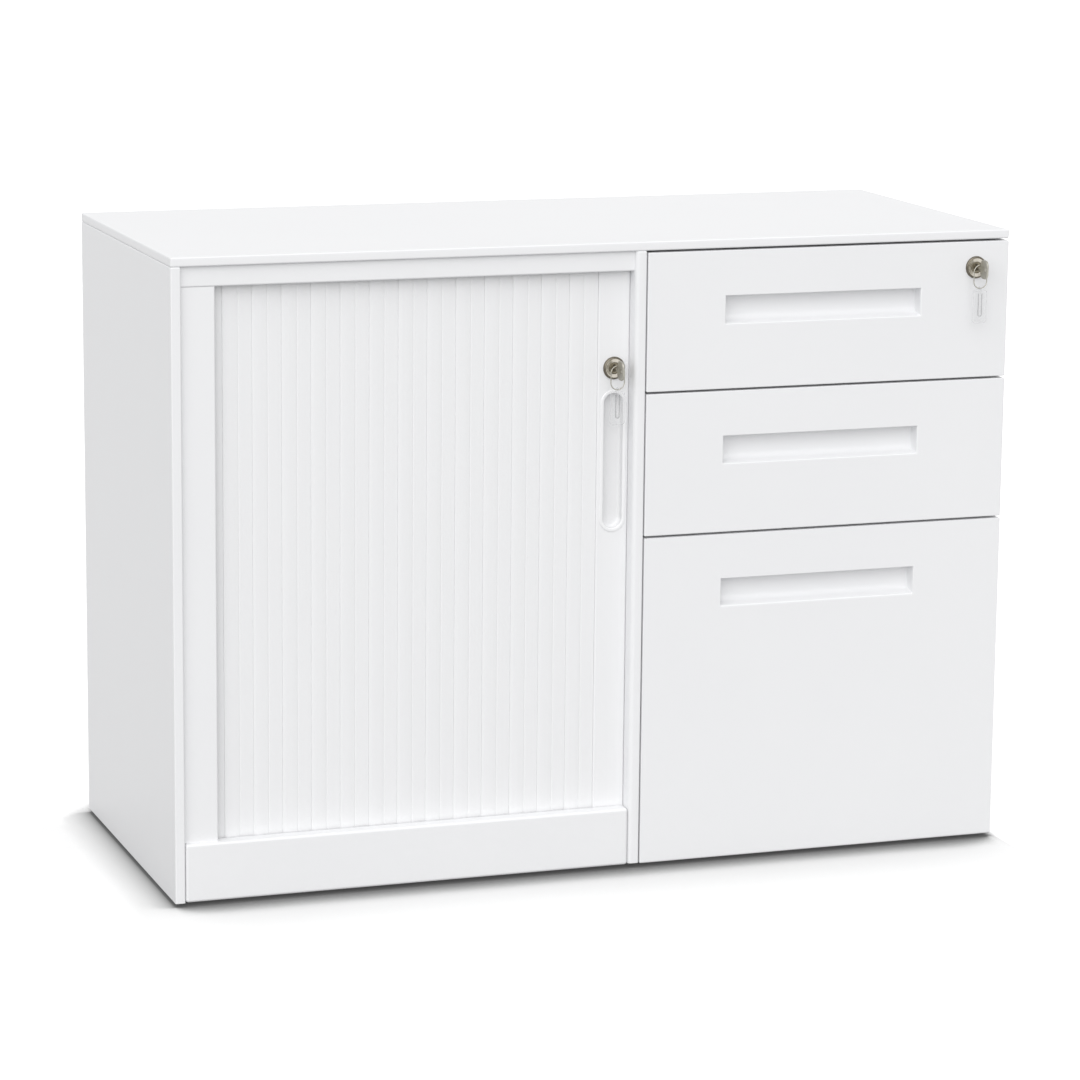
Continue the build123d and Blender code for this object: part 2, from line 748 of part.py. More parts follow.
def make_parts():
    """Every piece by its name."""
    parts = {
        "top_panel": make_top_panel(),
        "left_side_panel": make_left_side_panel(),
        "right_side_panel": make_right_side_panel(),
        "divider_panel": make_divider_panel(),
        "back_panel": make_back_panel(),
        "base_panel": make_base_panel(),
        "levelling_feet": make_levelling_feet(),
        "carcass_screws": make_carcass_screws(),
        "header_rail": make_header_rail(),
        "left_stile": make_left_stile(),
        "plinth_rail": make_plinth_rail(),
        "bottom_track": make_track(floor_z, floor_z + track_lip),
        "top_track": make_track(under_top_z - sheet, under_top_z - sheet - track_lip),
        "cupboard_floor": make_cupboard_floor(),
        "curtain_liner": make_curtain_liner(),
        "shelf": make_shelf(),
        "shelf_clips": make_shelf_clips(),
        "lead_slat": make_lead_slat(),
        "finger_pull": make_finger_pull(),
        "lock_bar": make_lock_bar(),
        "hanging_rails": make_hanging_rails(),
    }
    for index in range(strip_count):
        parts[f"slat_pair_{index + 1:02d}"] = make_slat_pair(index)
    tambour_lock = make_lock(
        fittings_x, tambour_lock_z, curtain_y, tambour_barrel, tambour_cam_length
    )
    drawer_lock = make_lock(lock_x, lock_z, front_y, drawer_barrel, drawer_cam_length)
    for piece in tambour_lock:
        parts[f"tambour_{piece}"] = tambour_lock[piece]
        parts[f"drawer_{piece}"] = drawer_lock[piece]
    fixed_runners = []
    for name in drawers:
        parts[f"{name}_front"] = make_drawer_front(name)
        parts[f"{name}_box"] = make_drawer_box(name)
        fixed_runners += runner_pair(name, nest=0, faces_wall=False)
        parts[f"{name}_middle_runners"] = Compound(children=runner_pair(name, nest=1, faces_wall=False))
        parts[f"{name}_runners"] = Compound(children=runner_pair(name, nest=2, faces_wall=True))
    parts["cabinet_runners"] = Compound(children=fixed_runners)
    return parts


os.makedirs("parts", exist_ok=True)
for part_name, shape in make_parts().items():
    export_step(shape, f"parts/{part_name}.step")
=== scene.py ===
import math

import bmesh
import bpy
from mathutils import Matrix, Vector


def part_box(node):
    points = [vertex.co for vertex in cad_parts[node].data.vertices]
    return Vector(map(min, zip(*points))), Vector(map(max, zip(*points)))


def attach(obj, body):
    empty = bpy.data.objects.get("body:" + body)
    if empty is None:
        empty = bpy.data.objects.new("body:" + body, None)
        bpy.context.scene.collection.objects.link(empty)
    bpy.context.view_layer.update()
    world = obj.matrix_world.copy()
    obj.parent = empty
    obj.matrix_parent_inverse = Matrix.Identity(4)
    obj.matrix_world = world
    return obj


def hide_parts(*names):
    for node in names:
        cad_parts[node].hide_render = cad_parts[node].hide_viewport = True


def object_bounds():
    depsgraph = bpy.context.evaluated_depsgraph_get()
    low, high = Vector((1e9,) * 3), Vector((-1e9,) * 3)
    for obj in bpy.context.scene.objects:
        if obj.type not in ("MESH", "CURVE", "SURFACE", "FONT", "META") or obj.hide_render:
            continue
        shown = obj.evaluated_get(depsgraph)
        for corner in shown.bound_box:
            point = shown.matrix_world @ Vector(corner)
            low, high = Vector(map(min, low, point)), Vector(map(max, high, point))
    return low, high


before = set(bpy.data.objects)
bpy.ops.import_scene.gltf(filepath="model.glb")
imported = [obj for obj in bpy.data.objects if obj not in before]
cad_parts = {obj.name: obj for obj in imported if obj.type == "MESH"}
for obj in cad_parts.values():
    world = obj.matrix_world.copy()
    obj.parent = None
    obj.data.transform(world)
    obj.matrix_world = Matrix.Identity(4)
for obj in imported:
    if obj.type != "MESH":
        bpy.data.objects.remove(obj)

cad_low, cad_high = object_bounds()


# Base panel: the bottom sheet of the carcass, turned up at both ends, with a weld nut over each foot.
# It is sprayed with dry white powder and baked, which leaves a satin skin with a fine orange peel.
# The same coat goes on every other piece of sheet steel.
mm = 0.001
powder_pale = (0.845, 0.848, 0.858, 1.0)
powder_deep = (0.815, 0.819, 0.832, 1.0)
powder_drifts = 4.0
powder_peels = 620.0
powder_rough = 0.36
powder_drift_rough = 0.10
powder_peel_rough = 0.06
powder_peel_depth = 0.12 * mm
powder_peel_strength = 0.25


class Wire:
    """A socket in a finish. Sums on wires add Math nodes."""

    def __init__(self, tree, socket):
        self.tree = tree
        self.socket = socket

    def node(self, kind, settings, inputs, output=0):
        made = self.tree.nodes.new(kind)
        for name, value in settings.items():
            setattr(made, name, value)
        for name, value in inputs.items():
            if isinstance(value, Wire):
                self.tree.links.new(value.socket, made.inputs[name])
            else:
                made.inputs[name].default_value = value
        return Wire(self.tree, made.outputs[output])

    def other(self, output):
        return Wire(self.tree, self.socket.node.outputs[output])

    def feeds(self, socket):
        self.tree.links.new(self.socket, socket)

    def sum(self, operation, first, second):
        return self.node("ShaderNodeMath", {"operation": operation}, {0: first, 1: second})

    def __add__(self, other):
        return self.sum("ADD", self, other)

    def __radd__(self, other):
        return self.sum("ADD", other, self)

    def __sub__(self, other):
        return self.sum("SUBTRACT", self, other)

    def __rsub__(self, other):
        return self.sum("SUBTRACT", other, self)

    def __mul__(self, other):
        return self.sum("MULTIPLY", self, other)

    def __rmul__(self, other):
        return self.sum("MULTIPLY", other, self)


def new_finish(name):
    """A bare finish: its material, its shader, and the place on the piece."""
    made = bpy.data.materials.new(name)
    made.use_nodes = True
    tree = made.node_tree
    place = Wire(tree, tree.nodes.new("ShaderNodeTexCoord").outputs["Object"])
    return made, tree.nodes["Principled BSDF"], place


def noise(place, scale, detail=2.0):
    """Cloudy noise with so many swells to the metre."""
    return place.node("ShaderNodeTexNoise", {}, {"Vector": place, "Scale": scale, "Detail": detail})


def blend_colours(place, share, first, second):
    """Goes from the first colour to the second as the share rises."""
    return place.node("ShaderNodeMix", {"data_type": "RGBA"}, {0: share, 6: first, 7: second}, 2)


def dent(place, height, depth, strength):
    """A bump on the surface, with the height's full swing as deep as given."""
    inputs = {"Height": height, "Distance": depth, "Strength": strength}
    return place.node("ShaderNodeBump", {}, inputs)


def lay_finish(shader, colour, rough, bumps):
    """Gives a finish its colour, its roughness and its bumps."""
    colour.feeds(shader.inputs["Base Color"])
    rough.feeds(shader.inputs["Roughness"])
    bumps.feeds(shader.inputs["Normal"])


def coat_nodes(finish, *names):
    """Gives shapes that stay as they are their finish."""
    for name in names:
        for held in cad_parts[name].material_slots:
            held.material = finish


powder_white, shader, place = new_finish("powder_white")
drift = noise(place, powder_drifts, detail=3.0)
peel = noise(place, powder_peels, detail=1.0)
colour = blend_colours(place, drift, powder_deep, powder_pale)
rough = powder_rough + powder_drift_rough * drift + powder_peel_rough * peel
lay_finish(shader, colour, rough, dent(place, peel, powder_peel_depth, powder_peel_strength))
coat_nodes(powder_white, "base_panel")


# Levelling feet: four black moulded pads on threaded studs, screwed up into the base's weld nuts.
# A pad is a shallow dish with a soft rim and a moulded grain. One is made and the others are copies.
foot_low, foot_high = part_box("levelling_feet")
pad_radius = 18 * mm
pad_height = 5 * mm
pad_step = 4 * mm
pad_edge = 0.5 * mm
stud_radius = 4 * mm
foot_pale = (0.045, 0.045, 0.047, 1.0)
foot_deep = (0.018, 0.018, 0.019, 1.0)
foot_grains = 900.0
foot_rough = 0.48
foot_grain_rough = 0.2
foot_grain_depth = 0.1 * mm
foot_grain_strength = 0.4
sharp_angle = math.radians(40)
squarely = 0.99
snap = 0.05 * mm


def clear_bench():
    """Leaves edit mode and selects nothing."""
    if bpy.context.mode != "OBJECT":
        bpy.ops.object.mode_set(mode="OBJECT")
    bpy.ops.object.select_all(action="DESELECT")


def only(piece):
    """Selects one piece and nothing else."""
    clear_bench()
    piece.select_set(True)
    bpy.context.view_layer.objects.active = piece


def pick(piece, kind, test):
    """In edit mode, selects the corners, edges or faces that pass a test."""
    if piece.mode == "OBJECT":
        only(piece)
        bpy.ops.object.mode_set(mode="EDIT")
    bpy.ops.mesh.select_mode(type=kind)
    bpy.ops.mesh.select_all(action="DESELECT")
    shape = bmesh.from_edit_mesh(piece.data)
    shape.normal_update()
    for part in {"VERT": shape.verts, "EDGE": shape.edges, "FACE": shape.faces}[kind]:
        if test(part):
            part.select_set(True)
    shape.select_flush_mode()
    bmesh.update_edit_mesh(piece.data)


def facing(*way):
    """Tests for faces that look squarely one way."""
    return lambda face: face.normal.dot(Vector(way)) > squarely


def push_out(*way):
    """Extrudes the selected faces or edges."""
    bpy.ops.mesh.extrude_region_move(TRANSFORM_OT_translate={"value": way})


def turned_disc(name, middle, radius, length, along="Z", sides=64):
    """A round blank, ready for turning."""
    turn = {"X": (0, math.pi / 2, 0), "Y": (math.pi / 2, math.pi / sides, 0), "Z": (0, 0, 0)}[along]
    clear_bench()
    bpy.ops.mesh.primitive_cylinder_add(
        vertices=sides, radius=radius, depth=length, location=middle, rotation=turn
    )
    bpy.ops.object.transform_apply(location=True, rotation=True, scale=True)
    piece = bpy.context.object
    piece.name = name
    piece.data.name = name
    return piece


def apply_modifier(piece, kind, **settings):
    """Puts one modifier on a piece and applies it."""
    only(piece)
    made = piece.modifiers.new(kind.lower(), kind)
    for name, value in settings.items():
        setattr(made, name, value)
    bpy.ops.object.modifier_apply(modifier=made.name)


def round_edges(piece, radius, segments=3):
    """Softens every sharp edge of a piece."""
    limit = {"limit_method": "ANGLE", "angle_limit": sharp_angle}
    apply_modifier(piece, "BEVEL", width=radius, segments=segments, **limit)


def shade(piece):
    """Smooth over the rounded edges, flat on the broad faces."""
    only(piece)
    bpy.ops.object.shade_smooth_by_angle(angle=sharp_angle)
    apply_modifier(piece, "WEIGHTED_NORMAL", keep_sharp=True)


def copy_piece(piece, name, shift):
    """A copy of a finished piece with a mesh of its own, moved within that mesh."""
    twin = piece.copy()
    twin.data = piece.data.copy()
    twin.name = name
    twin.data.name = name
    twin.data.transform(Matrix.Translation(shift))
    bpy.context.collection.objects.link(twin)
    return twin


def settle(piece, finish, body, slot, *nodes):
    """Gives a finished piece its finish and the body it moves with, and hides the shapes it stands for.
    Its slot is not used.
    """
    clear_bench()
    piece.data.materials.clear()
    piece.data.materials.append(finish)
    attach(piece, body)
    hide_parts(*nodes)


foot_black, shader, place = new_finish("foot_black")
grain = noise(place, foot_grains)
colour = blend_colours(place, grain, foot_deep, foot_pale)
rough = foot_rough + foot_grain_rough * grain
lay_finish(shader, colour, rough, dent(place, grain, foot_grain_depth, foot_grain_strength))

foot_place = Vector((foot_low.x + pad_radius, foot_low.y + pad_radius, pad_height / 2))
foot = turned_disc("levelling_foot_1", foot_place, pad_radius, pad_height)
pick(foot, "FACE", facing(0, 0, 1))
bpy.ops.mesh.inset(thickness=pad_step)
bpy.ops.mesh.inset(thickness=pad_radius - pad_step - stud_radius)
push_out(0, 0, foot_high.z - pad_height)
pick(foot, "VERT", lambda corner: corner.co.z > pad_height - snap
     and (corner.co - foot_place).xy.length > pad_radius - snap)
bpy.ops.transform.translate(value=(0, 0, -pad_height / 2))
round_edges(foot, pad_edge)
shade(foot)
feet = [foot]
across = foot_high.x - foot_low.x - 2 * pad_radius
along = foot_high.y - foot_low.y - 2 * pad_radius
for shift in ((across, 0, 0), (0, along, 0), (across, along, 0)):
    feet.append(copy_piece(foot, f"levelling_foot_{len(feet) + 1}", shift))
for foot in feet:
    settle(foot, foot_black, "cabinet", "foot_plastic", "levelling_feet")


# Side panels and divider: double skins of 1 mm steel, folded round into flat tubes that stand upright.
# Their long edges are bent, so they catch a soft line of light. The right panel and the divider are
# pierced where the lock bar's lugs and the lock cams pass.
skin = 1.0 * mm
panel_bend = 1.7 * mm
divider_bend = 5.0 * mm
lug_setback = 19 * mm
lug_window_width = 8 * mm
lug_window_height = 22 * mm
lug_window_levels = (89.5 * mm, 476.0 * mm, 642.5 * mm)
cam_window_height = 42 * mm
window_reach = 4 * skin


def box_piece(name, low, high):
    """A plain block between two corners, ready for shaping."""
    low, high = Vector(low), Vector(high)
    clear_bench()
    bpy.ops.mesh.primitive_cube_add(size=1.0, location=(low + high) / 2, scale=high - low)
    bpy.ops.object.transform_apply(location=True, rotation=True, scale=True)
    piece = bpy.context.object
    piece.name = name
    piece.data.name = name
    return piece


def cut_out(piece, cutter):
    """Cuts a block out of a piece and throws the block away."""
    apply_modifier(piece, "BOOLEAN", operation="DIFFERENCE", solver="EXACT", object=cutter)
    bpy.data.objects.remove(cutter)


def open_block(name, low, high, *open_ways):
    """A block with some of its sides left out, ready for bending."""
    piece = box_piece(name, low, high)
    pick(piece, "FACE", lambda face: any(facing(*way)(face) for way in open_ways))
    bpy.ops.mesh.delete(type="FACE")
    return piece


def bend_sheet(piece, bend, thickness):
    """Bends the folds of an open block and gives its sheet a thickness, inwards."""
    round_edges(piece, bend, segments=5)
    apply_modifier(piece, "SOLIDIFY", thickness=thickness, offset=-1.0)


def both_ends(test):
    """Tests for edges with both ends at places that pass a test."""
    return lambda edge: all(test(corner.co) for corner in edge.verts)


def tube_panel(name, node, wide_bend=0.0):
    """An upright tube with bent edges, open at the foot. Its front left edge may have a wider bend."""
    low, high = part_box(node)
    panel = open_block(name, low, high, (0, 0, -1))
    if wide_bend:
        pick(panel, "EDGE", both_ends(lambda spot: spot.x < low.x + skin and spot.y < low.y + skin))
        bpy.ops.mesh.bevel(offset=wide_bend, segments=7, affect="EDGES")
    bend_sheet(panel, panel_bend, skin)
    return panel


def pierce(panel, face_x, near, far):
    """Cuts a window through a panel's left skin, between two places on it."""
    low = (face_x - skin, *near)
    high = (face_x + window_reach, *far)
    cut_out(panel, box_piece("window", low, high))


left_side = tube_panel("left_side", "left_side_panel")
right_side = tube_panel("right_side", "right_side_panel")
divider = tube_panel("divider", "divider_panel", divider_bend)
side_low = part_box("right_side_panel")[0]
lug_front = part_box("top_drawer_box")[0].y + lug_setback
for level in lug_window_levels:
    far = (lug_front + lug_window_width, level + lug_window_height)
    pierce(right_side, side_low.x, (lug_front, level), far)
cam_low, cam_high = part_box("drawer_lock_cam")
far = (cam_high.y + skin, cam_low.z + cam_window_height)
pierce(right_side, side_low.x, (cam_low.y - skin, cam_low.z), far)
divider_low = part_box("divider_panel")[0]
cam_low, cam_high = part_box("tambour_lock_cam")
far = (cam_high.y + skin, cam_high.z + skin)
pierce(divider, divider_low.x, (cam_low.y - skin, cam_low.z), far)
panels = {"left_side_panel": left_side, "right_side_panel": right_side, "divider_panel": divider}
for node, panel in panels.items():
    shade(panel)
    settle(panel, powder_white, "cabinet", "white_steel", node)


# Back panel: one sheet with its sides folded forward into flanges, let in between the side panels.
# Eight zinc-plated screws go through the flanges, so from behind only the seams show.
back_bend = 1.8 * mm
zinc_pale = (0.66, 0.67, 0.68, 1.0)
zinc_deep = (0.50, 0.52, 0.54, 1.0)
zinc_flakes = 260.0
zinc_hazes = 35.0
zinc_rough = 0.28
zinc_flake_rough = 0.16
zinc_haze_rough = 0.14
zinc_haze_depth = 0.1 * mm
zinc_haze_strength = 0.15

back = open_block("back_sheet", *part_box("back_panel"), (0, -1, 0), (0, 0, 1), (0, 0, -1))
bend_sheet(back, back_bend, skin)
shade(back)
settle(back, powder_white, "cabinet", "white_steel", "back_panel")

zinc, shader, place = new_finish("zinc_plate")
spangle = place.node("ShaderNodeTexVoronoi", {}, {"Vector": place, "Scale": zinc_flakes}, "Color")
flake = spangle.node("ShaderNodeSeparateColor", {}, {0: spangle})
haze = noise(place, zinc_hazes, detail=4.0)
colour = blend_colours(place, flake, zinc_deep, zinc_pale)
rough = zinc_rough + zinc_flake_rough * flake + zinc_haze_rough * haze
lay_finish(shader, colour, rough, dent(place, haze, zinc_haze_depth, zinc_haze_strength))
shader.inputs["Metallic"].default_value = 1.0
coat_nodes(zinc, "carcass_screws")


# Top panel: one sheet folded down on all four sides and hemmed in underneath, with bent edges.
# It lies on the side panels and the divider, flush with them at the front, sides and back.
top_low, top_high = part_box("top_panel")
top_bend = 1.8 * mm
top_hem = 14 * mm


def hollow_from_below(piece, wall, depth):
    """Sinks the underside of a panel, inside a rim of sheet."""
    pick(piece, "FACE", facing(0, 0, -1))
    bpy.ops.mesh.inset(thickness=wall)
    push_out(0, 0, depth)


top = box_piece("top_sheet", top_low, top_high)
round_edges(top, top_bend, segments=4)
hollow_from_below(top, top_hem, top_high.z - top_low.z - 2 * skin)
shade(top)
settle(top, powder_white, "cabinet", "white_steel", "top_panel")


# Front frame of the cupboard: a header rail, a left stile and a plinth rail, each folded from sheet.
# The stile and header stand a little back from the panel edges, and their inner edges turn back to
# the curtain. The plinth is flush, with its top edge and ends rolled over a wider bend.
stile_low, stile_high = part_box("left_stile")
header_low, header_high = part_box("header_rail")
plinth_low, plinth_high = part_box("plinth_rail")
frame_bend = 2.0 * mm
plinth_bend = 3.2 * mm
frame_setback = 3.5 * mm


def run_back(rail, high):
    """Draws a rail's upper rear edge back to the rail's full depth."""
    pick(rail, "EDGE", both_ends(
        lambda spot: spot.y > stile_high.y - snap and spot.z > high.z - snap))
    push_out(0, high.y - stile_high.y, 0)


stile_face = stile_low + Vector((0, frame_setback, 0))
stile = open_block("stile_sheet", stile_face, stile_high, (0, 1, 0), (0, 0, 1), (0, 0, -1))
bend_sheet(stile, frame_bend, skin)

header_face = header_low + Vector((0, frame_setback, 0))
header_back = (header_high.x, stile_high.y, header_high.z)
header = open_block("header_sheet", header_face, header_back, (0, 1, 0), (1, 0, 0), (-1, 0, 0))
run_back(header, header_high)
bend_sheet(header, frame_bend, skin)

plinth_back = (plinth_high.x, stile_high.y, plinth_high.z)
plinth = open_block("plinth_sheet", plinth_low, plinth_back, (0, 1, 0))
run_back(plinth, plinth_high)
bend_sheet(plinth, plinth_bend, skin)

for piece, node in ((stile, "left_stile"), (header, "header_rail"), (plinth, "plinth_rail")):
    shade(piece)
    settle(piece, powder_white, "cabinet", "white_steel", node)


# Inside of the cupboard: a folded floor, a liner sheet that hides the stacked curtain, a shelf on
# four zinc clips, and grey extruded tracks above and below for the ends of the slats.
shelf_low, shelf_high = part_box("shelf")
shelf_bend = 1.5 * mm
shelf_hem = 14 * mm
track_pale = (0.69, 0.69, 0.70, 1.0)
track_deep = (0.60, 0.60, 0.61, 1.0)
track_lines = (2.0, 900.0, 900.0)
track_rough = 0.38
track_line_rough = 0.2
track_line_depth = 0.05 * mm
track_line_strength = 0.3

shelf = box_piece("shelf_sheet", shelf_low, shelf_high)
round_edges(shelf, shelf_bend, segments=4)
hollow_from_below(shelf, shelf_hem, shelf_high.z - shelf_low.z - 2 * skin)
shade(shelf)
settle(shelf, powder_white, "cabinet", "white_steel", "shelf")

track_grey, shader, place = new_finish("track_grey")
drawn = place.node("ShaderNodeMapping", {}, {"Vector": place, "Scale": track_lines})
lines = noise(drawn, 1.0, detail=3.0)
colour = blend_colours(place, lines, track_deep, track_pale)
rough = track_rough + track_line_rough * lines
lay_finish(shader, colour, rough, dent(place, lines, track_line_depth, track_line_strength))
coat_nodes(powder_white, "cupboard_floor", "curtain_liner")
coat_nodes(zinc, "shelf_clips")
coat_nodes(track_grey, "top_track", "bottom_track")


# Curtain: slats of extruded white plastic, joined in pairs and standing upright in the tracks.
# Each slat has a smooth face and rounded edges, so that a fine groove shows at every joint.
# One pair is made and the others are copies, each one pair further to the left.
pair_low, pair_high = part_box("slat_pair_01")
next_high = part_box("slat_pair_02")[1]
pair_count = 14
pair_width = pair_high.x - next_high.x
slat_thickness = 1.6 * mm
slat_slant = 1.9 * mm
groove_half = 1.6 * mm
groove_depth = 0.7 * mm
feather_width = 4.5 * mm
feather_depth = 1.1 * mm
slat_edge = 0.2 * mm
slat_gap = 0.2 * mm
column_digits = 7
column_slack = 0.0005 * mm
slat_pale = (0.845, 0.848, 0.857, 1.0)
slat_deep = (0.815, 0.818, 0.828, 1.0)
slat_streaks = (700.0, 700.0, 3.0)
slat_drifts = 6.0
slat_rough = 0.34
slat_streak_rough = 0.12
slat_drift_rough = 0.08
slat_streak_depth = 0.03 * mm
slat_streak_strength = 0.3

slat_white, shader, place = new_finish("slat_white")
drawn = place.node("ShaderNodeMapping", {}, {"Vector": place, "Scale": slat_streaks})
streak = noise(drawn, 1.0, detail=3.0)
drift = noise(place, slat_drifts, detail=3.0)
colour = blend_colours(place, streak, slat_deep, slat_pale)
rough = slat_rough + slat_streak_rough * streak + slat_drift_rough * drift
lay_finish(shader, colour, rough, dent(place, streak, slat_streak_depth, slat_streak_strength))

face_y = pair_high.y - slat_slant - slat_thickness
joint_x = pair_high.x - pair_width / 2


def at_joint(spot):
    """Tests for places on the front of a pair where its two slats meet."""
    return abs(spot.x - joint_x) < snap and spot.y < face_y + snap


near = (pair_low.x, face_y, pair_low.z)
far = (pair_high.x - slat_gap, face_y + slat_thickness, pair_high.z)
pair = box_piece("slat_strip_01", near, far)
pick(pair, "FACE", lambda face: True)
bpy.ops.mesh.bisect(plane_co=(joint_x, 0, 0), plane_no=(1, 0, 0))
bpy.ops.mesh.select_all(action="SELECT")
bpy.ops.mesh.bisect(plane_co=(pair_low.x + feather_width, 0, 0), plane_no=(1, 0, 0))
pick(pair, "VERT", lambda corner: corner.co.x < pair_low.x + snap and corner.co.y < face_y + snap)
bpy.ops.transform.translate(value=(0, feather_depth, 0))
pick(pair, "EDGE", both_ends(at_joint))
bpy.ops.mesh.bevel(offset=groove_half, segments=2, affect="EDGES")
pick(pair, "VERT", lambda corner: at_joint(corner.co))
bpy.ops.transform.translate(value=(0, groove_depth, 0))
round_edges(pair, slat_edge, segments=2)
for column in sorted({round(corner.co.x, column_digits) for corner in pair.data.vertices}):
    pick(pair, "VERT", lambda corner: abs(corner.co.x - column) < column_slack)
    slide = slat_slant * (column - pair_high.x + pair_width) / pair_width
    bpy.ops.transform.translate(value=(0, slide, 0))
shade(pair)
pairs = [pair]
for step in range(1, pair_count):
    pairs.append(copy_piece(pair, f"slat_strip_{step + 1:02d}", (-step * pair_width, 0, 0)))
for number, pair in enumerate(pairs, 1):
    body = "tambour_lead" if number == 1 else f"slat_pair_{number:02d}"
    settle(pair, slat_white, body, "white_plastic", f"slat_pair_{number:02d}")


# Lead slat: the broad channel at the curtain's free edge, extruded in the same white plastic.
# A long slot takes the finger pull and a round hole above it takes the lock.
lead_low, lead_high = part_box("lead_slat")
lead_wall = 1.5 * mm
lead_bend = 1.8 * mm
closing_lip = 0.42 * mm
pull_low, pull_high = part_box("finger_pull")
pull_middle = (pull_low + pull_high) / 2
pull_radius = (pull_high.x - pull_low.x) / 2
pull_half = (pull_high.z - pull_low.z) / 2 - pull_radius
rim_width = 4.0 * mm
cup_wall = 1.5 * mm
barrel_radius = 9.0 * mm
hole_play = 0.1 * mm
cutter_half = 5 * mm


def stadium_blank(name, y0, y1, radius):
    """An upright blank with round ends, centred on the finger pull."""
    middle = (pull_middle.x, (y0 + y1) / 2, pull_middle.z)
    blank = turned_disc(name, middle, radius, y1 - y0, "Y")
    for way in (-1, 1):
        pick(blank, "VERT", lambda corner: way * (corner.co.z - pull_middle.z) > snap)
        bpy.ops.transform.translate(value=(0, 0, way * pull_half))
    return blank


def bore_for_lock(piece, bay, face_y):
    """Bores the hole for a lock's barrel through a piece's face."""
    low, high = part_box(f"{bay}_lock_housing")
    middle = (low + high) / 2
    place = (middle.x, face_y, middle.z)
    cut_out(piece, turned_disc("hole", place, barrel_radius + hole_play, 2 * cutter_half, "Y"))


lead_far = lead_high + Vector((closing_lip, 0, 0))
lead = open_block("lead_channel", lead_low, lead_far, (0, 1, 0), (0, 0, 1), (0, 0, -1))
bend_sheet(lead, lead_bend, lead_wall)
slot_radius = pull_radius - rim_width + cup_wall + hole_play
cut_out(lead, stadium_blank("slot", lead_low.y - cutter_half, lead_low.y + cutter_half, slot_radius))
bore_for_lock(lead, "tambour", lead_low.y)
shade(lead)
settle(lead, slat_white, "tambour_lead", "white_plastic", "lead_slat")


# Finger pull: a moulded white cup with a raised round rim, pressed into the lead slat's slot.
# The rim rolls softly into the cup, which is matt and painted a shade greyer as painted shade in its
# recess, and the floor meets the walls in a wide fillet.
rim_bend = 0.8 * mm
lip_bend = 1.3 * mm
floor_bend = 3.0 * mm
cup_floor_y = pull_high.y - cup_wall
round_slack = 0.2 * mm
rim_pale = (0.87, 0.872, 0.88, 1.0)
rim_deep = (0.83, 0.832, 0.84, 1.0)
rim_rough = 0.26
cup_shade_pale = (0.80, 0.802, 0.81, 1.0)
cup_shade_deep = (0.765, 0.767, 0.775, 1.0)
cup_rough = 0.50
mould_grains = 700.0
mould_drifts = 12.0
mould_grain_rough = 0.10
mould_drift_rough = 0.08
mould_grain_depth = 0.05 * mm
mould_grain_strength = 0.25


def moulded_white(name, pale, deep, base_rough):
    """White moulded plastic with a fine grain."""
    moulded, shader, place = new_finish(name)
    grain = noise(place, mould_grains)
    drift = noise(place, mould_drifts, detail=3.0)
    colour = blend_colours(place, drift, deep, pale)
    rough = base_rough + mould_grain_rough * grain + mould_drift_rough * drift
    lay_finish(shader, colour, rough, dent(place, grain, mould_grain_depth, mould_grain_strength))
    return moulded


def second_finish(piece, finish, test):
    """Gives the faces of a piece that pass a test another finish."""
    piece.data.materials.append(finish)
    for face in piece.data.polygons:
        if test(face.center):
            face.material_index = len(piece.data.materials) - 1


def at_level(y):
    """Tests for edges that lie at one depth from the front."""
    return both_ends(lambda spot: abs(spot.y - y) < snap)


def rim_edge(radius):
    """Tests for front edges at one distance from the finger pull's middle line."""
    def test(edge):
        spot = (edge.verts[0].co + edge.verts[1].co) / 2 - pull_middle
        reach = math.hypot(spot.x, max(abs(spot.z) - pull_half, 0))
        return at_level(pull_low.y)(edge) and abs(reach - radius) < round_slack
    return test


pull_white = moulded_white("pull_white", rim_pale, rim_deep, rim_rough)
cup_matt_painted_shade = moulded_white("cup_matt_painted_shade", cup_shade_pale, cup_shade_deep, cup_rough)

pull = stadium_blank("finger_cup", pull_low.y, lead_low.y, pull_radius)
pick(pull, "FACE", facing(0, 1, 0))
bpy.ops.mesh.inset(thickness=rim_width - cup_wall)
push_out(0, pull_high.y - lead_low.y, 0)
pick(pull, "FACE", facing(0, -1, 0))
bpy.ops.mesh.inset(thickness=rim_width)
push_out(0, cup_floor_y - pull_low.y, 0)
pick(pull, "EDGE", at_level(cup_floor_y))
bpy.ops.mesh.bevel(offset=floor_bend, segments=6, affect="EDGES")
pick(pull, "EDGE", rim_edge(pull_radius - rim_width))
bpy.ops.mesh.bevel(offset=lip_bend, segments=5, affect="EDGES")
pick(pull, "EDGE", rim_edge(pull_radius))
bpy.ops.mesh.bevel(offset=rim_bend, segments=4, affect="EDGES")
shade(pull)
settle(pull, pull_white, "tambour_lead", "white_plastic", "finger_pull")
# Behind the rim the cup is matt and painted greyer: painted shade in the recess.
second_finish(pull, cup_matt_painted_shade, lambda spot: spot.y > pull_low.y + lip_bend)


